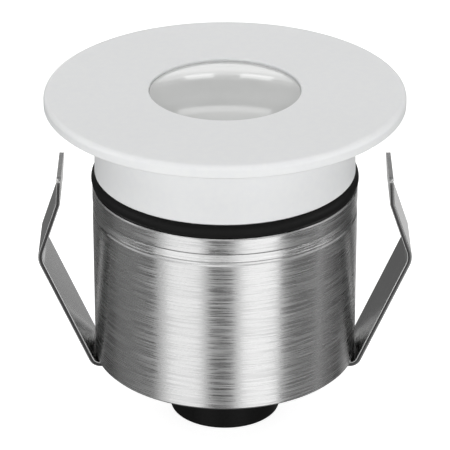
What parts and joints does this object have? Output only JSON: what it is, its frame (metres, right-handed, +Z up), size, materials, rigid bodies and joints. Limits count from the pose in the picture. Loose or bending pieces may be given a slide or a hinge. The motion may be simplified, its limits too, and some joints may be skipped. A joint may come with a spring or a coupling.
{
  "type": "recessed deck light",
  "caption": "Round recessed deck light with a white flange, a domed opal lens, a brushed steel can, sprung side clips and a cable gland.",
  "frame": {"origin": "centre of the flange's underside plane, at the centre of the round hole in the deck", "axes": "+Z up out of the deck along the light's axis; the two spring clips lie on the X axis"},
  "size_m": [0.0626, 0.06, 0.0603],
  "materials": {
    "white_powder_coat": "fine satin powder coat on cast aluminium",
    "black_rubber": "moulded, matt",
    "opal_lens": "opal acrylic, moulded, glossy",
    "white_silicone": "cut silicone sheet, matt",
    "black_anodised": "turned and black anodised",
    "white_plastic": "moulded white polycarbonate",
    "led_ceramic": "fired white ceramic",
    "led_phosphor": "cast silicone with phosphor",
    "white_board": "white solder mask on aluminium",
    "thermal_pad": "soft silicone sheet",
    "screw_steel": "cold-headed stainless",
    "bare_aluminium": "turned, bare",
    "brass": "turned, nickel-free",
    "green_board": "solder mask on glass-epoxy",
    "ferrite": "pressed and sintered",
    "chip_plastic": "moulded epoxy",
    "capacitor_sleeve": "shrunk sleeve",
    "terminal_plastic": "moulded",
    "red_wire": "extruded",
    "black_wire": "extruded",
    "brushed_stainless": "turned, then brushed round the can",
    "black_nylon": "moulded nylon, matt",
    "spring_steel": "rolled strip, smooth"
  },
  "bodies": {
    "light": {"front_ring": "white_powder_coat", "front_gasket": "black_rubber", "spigot_o_ring": "black_rubber", "lens": "opal_lens", "lens_gasket": "white_silicone", "lens_clamp_ring": "black_anodised", "reflector": "white_plastic", "led_base": "led_ceramic", "led_dome": "led_phosphor", "led_board": "white_board", "thermal_pad": "thermal_pad", "led_screws": "screw_steel", "heat_spreader": "bare_aluminium", "standoffs": "brass", "driver_screws": "screw_steel", "driver_board": "green_board", "inductor": "ferrite", "rectifier": "chip_plastic", "driver_chip": "chip_plastic", "capacitor": "capacitor_sleeve", "terminal_block": "terminal_plastic", "terminal_screws": "screw_steel", "red_lead": "red_wire", "black_lead": "black_wire", "housing_can": "brushed_stainless", "gland_washer": "black_rubber", "gland_body": "black_nylon", "gland_nut": "black_nylon", "gland_seal": "black_rubber", "gland_cap": "black_nylon", "clip_screws": "screw_steel", "clip_right_foot": "spring_steel", "clip_left_foot": "spring_steel"},
    "right_leg": {"clip_right_leg": "spring_steel"},
    "right_tip": {"clip_right_tip": "spring_steel"},
    "left_leg": {"clip_left_leg": "spring_steel"},
    "left_tip": {"clip_left_tip": "spring_steel"}
  },
  "joints": [
    {"name": "right_leg_flex", "type": "hinge", "parent": "light", "child": "right_leg", "pos_m": [0.02281, 0, -0.04439], "axis": [0, -1, 0], "range_deg": [0, 21.6], "stiffness_Nm_per_rad": 1},
    {"name": "right_tip_flex", "type": "hinge", "parent": "right_leg", "child": "right_tip", "pos_m": [0.03132, 0, -0.02626], "axis": [0, 1, 0], "range_deg": [0, 35.7], "stiffness_Nm_per_rad": 0.25},
    {"name": "left_leg_flex", "type": "hinge", "parent": "light", "child": "left_leg", "pos_m": [-0.02281, 0, -0.04439], "axis": [0, 1, 0], "range_deg": [0, 21.6], "stiffness_Nm_per_rad": 1},
    {"name": "left_tip_flex", "type": "hinge", "parent": "left_leg", "child": "left_tip", "pos_m": [-0.03132, 0, -0.02626], "axis": [0, -1, 0], "range_deg": [0, 35.7], "stiffness_Nm_per_rad": 0.25}
  ],
  "couplings": [
    {"joint": "right_tip_flex", "follows": "right_leg_flex", "ratio": 1.65},
    {"joint": "left_tip_flex", "follows": "left_leg_flex", "ratio": 1.65}
  ]
}
